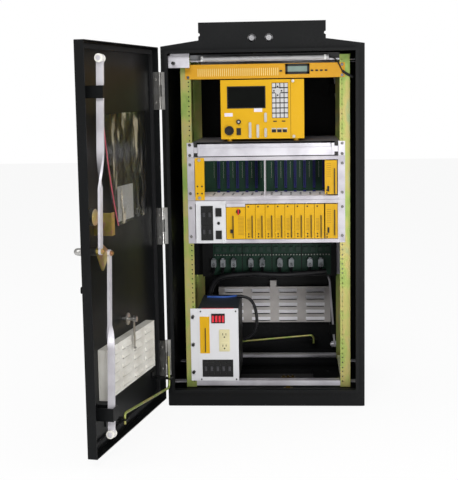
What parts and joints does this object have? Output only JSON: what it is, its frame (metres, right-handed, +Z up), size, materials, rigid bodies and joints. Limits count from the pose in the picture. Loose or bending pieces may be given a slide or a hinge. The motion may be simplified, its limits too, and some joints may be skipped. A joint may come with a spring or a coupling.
{
  "type": "roadside utility cabinet",
  "caption": "Black roadside controller cabinet with its front door swung open, showing rack-mounted yellow modules, a controller, card racks and a louvred filter in the door.",
  "frame": {"origin": "centre of the base's underside", "axes": "+X to the right facing the front, +Y from front to back, +Z up"},
  "size_m": [0.787, 1.1873, 1.177],
  "materials": {
    "cabinet_paint": "satin",
    "dark_paint": "satin",
    "bright_aluminium": "satin",
    "zinc_rail": "satin",
    "stainless": "brushed",
    "zinc_yellow": "satin",
    "brass_plate": "satin",
    "yellow_paint": "satin",
    "gold_panel": "satin",
    "white_paint": "satin",
    "black_plastic": "matte",
    "white_nylon": "matte",
    "beige_plastic": "matte",
    "breaker_plastic": "matte",
    "green_board": "satin",
    "display_glass": "gloss",
    "lamp_glass": "gloss",
    "rubber": "matte",
    "pouch_vinyl": "gloss",
    "paper_sheet": "matte",
    "lead_cover": "matte"
  },
  "bodies": {
    "cabinet": {"left_wall": "cabinet_paint", "right_wall": "cabinet_paint", "base_pan": "cabinet_paint", "roof": "cabinet_paint", "front_frame": "cabinet_paint", "rear_frame": "cabinet_paint", "roof_bolts": "stainless", "front_rails": "zinc_rail", "rear_rails": "zinc_rail", "cage_braces": "bright_aluminium", "rack_screws": "dark_paint", "lamp_housing": "white_paint", "lamp_tube": "lamp_glass", "lamp_lead": "lead_cover", "switch_bracket": "bright_aluminium", "display_panel": "gold_panel", "display_windows": "display_glass", "controller_case": "yellow_paint", "controller_sockets": "black_plastic", "keys": "black_plastic", "drawer_runners": "dark_paint", "upper_rack": "bright_aluminium", "lower_rack": "bright_aluminium", "circuit_boards": "green_board", "card_connectors": "black_plastic", "rack_modules": "yellow_paint", "module_pulls": "black_plastic", "service_panel": "white_paint", "circuit_breakers": "breaker_plastic", "field_plugs": "white_nylon", "field_harness": "lead_cover", "power_case": "dark_paint", "power_panel": "white_paint", "power_leads": "lead_cover", "duplex_outlet": "beige_plastic", "ground_lug": "brass_plate", "frame_hinges": "stainless"},
    "front_door": {"front_door": "cabinet_paint", "door_gasket": "rubber", "door_hinges": "stainless", "filter_housing": "bright_aluminium", "rod_guides": "cabinet_paint", "lock_bracket": "zinc_yellow", "document_pouch": "pouch_vinyl", "document_sheets": "paper_sheet"},
    "front_latch": {"front_handle": "stainless"},
    "upper_rod": {"upper_rod": "stainless"},
    "lower_rod": {"lower_rod": "stainless"},
    "upper_rollers": {"upper_rollers": "white_nylon"},
    "lower_rollers": {"lower_rollers": "white_nylon"},
    "stay_rod": {"stay_rod": "zinc_yellow"},
    "filter_clip": {"filter_clip": "stainless"},
    "door_switch": {"door_switch": "black_plastic"},
    "drawer_tray": {"drawer_tray": "bright_aluminium"},
    "rear_door": {"rear_door": "cabinet_paint", "rear_filter_housing": "bright_aluminium"},
    "rear_latch": {"rear_handle": "stainless"},
    "rear_upper_rod": {"rear_upper_rod": "stainless"},
    "rear_lower_rod": {"rear_lower_rod": "stainless"},
    "rear_stay_rod": {"rear_stay_rod": "zinc_yellow"}
  },
  "joints": [
    {"name": "front_door_swing", "type": "hinge", "parent": "cabinet", "child": "front_door", "pos_m": [-0.309, -0.26217, 0.568], "axis": [0, 0, 1], "range_deg": [0, 101]},
    {"name": "front_latch_turn", "type": "hinge", "parent": "front_door", "child": "front_latch", "pos_m": [-0.40675, -0.79124, 0.565], "axis": [-0.9816, 0.1908, 0], "range_deg": [0, 78]},
    {"name": "upper_rod_pivot", "type": "hinge", "parent": "front_latch", "child": "upper_rod", "pos_m": [-0.40021, -0.82839, 0.57249], "axis": [-0.9816, 0.1908, 0], "range_deg": [-82.63, 0.5]},
    {"name": "lower_rod_pivot", "type": "hinge", "parent": "front_latch", "child": "lower_rod", "pos_m": [-0.38982, -0.75866, 0.55751], "axis": [-0.9816, 0.1908, 0], "range_deg": [-82.72, 0.5]},
    {"name": "upper_roller_spin", "type": "hinge", "parent": "upper_rod", "child": "upper_rollers", "pos_m": [-0.39251, -0.79401, 1.06021], "axis": [-0.1903, -0.9791, 0.072], "continuous": true},
    {"name": "lower_roller_spin", "type": "hinge", "parent": "lower_rod", "child": "lower_rollers", "pos_m": [-0.39251, -0.79401, 0.07981], "axis": [0.1903, 0.979, -0.0735], "continuous": true},
    {"name": "stay_rod_swing", "type": "hinge", "parent": "front_door", "child": "stay_rod", "pos_m": [-0.29272, -0.33563, 0.108], "axis": [0, 0, -1], "range_deg": [-90, 0]},
    {"name": "filter_clip_turn", "type": "hinge", "parent": "front_door", "child": "filter_clip", "pos_m": [-0.3913, -0.56605, 0.343], "axis": [-0.9816, 0.1908, 0], "range_deg": [-90, 0]},
    {"name": "door_switch_press", "type": "slide", "parent": "cabinet", "child": "door_switch", "axis": [0, 1, 0], "range_m": [0, 0.008], "stiffness_N_per_m": 300},
    {"name": "drawer_slide", "type": "slide", "parent": "cabinet", "child": "drawer_tray", "axis": [0, 1, 0], "range_m": [-0.28, 0]},
    {"name": "rear_door_swing", "type": "hinge", "parent": "cabinet", "child": "rear_door", "pos_m": [-0.309, 0.26217, 0.568], "axis": [0, 0, -1], "range_deg": [-100, 0]},
    {"name": "rear_latch_turn", "type": "hinge", "parent": "rear_door", "child": "rear_latch", "pos_m": [0.229, 0.25717, 0.565], "axis": [0, -1, 0], "range_deg": [0, 78]},
    {"name": "rear_upper_rod_pivot", "type": "hinge", "parent": "rear_latch", "child": "rear_upper_rod", "pos_m": [0.26421, 0.24368, 0.57249], "axis": [0, -1, 0], "range_deg": [-82.63, 0.5]},
    {"name": "rear_lower_rod_pivot", "type": "hinge", "parent": "rear_latch", "child": "rear_lower_rod", "pos_m": [0.19379, 0.24677, 0.55751], "axis": [0, -1, 0], "range_deg": [-82.72, 0.5]},
    {"name": "rear_stay_rod_swing", "type": "hinge", "parent": "rear_door", "child": "rear_stay_rod", "pos_m": [-0.24, 0.23217, 0.108], "axis": [0, 0, 1], "range_deg": [-45, 0]}
  ],
  "couplings": [
    {"joint": "upper_rod_pivot", "follows": "front_latch_turn", "ratio": -1.0529},
    {"joint": "lower_rod_pivot", "follows": "front_latch_turn", "ratio": -1.054},
    {"joint": "rear_upper_rod_pivot", "follows": "rear_latch_turn", "ratio": -1.0529},
    {"joint": "rear_lower_rod_pivot", "follows": "rear_latch_turn", "ratio": -1.054}
  ]
}
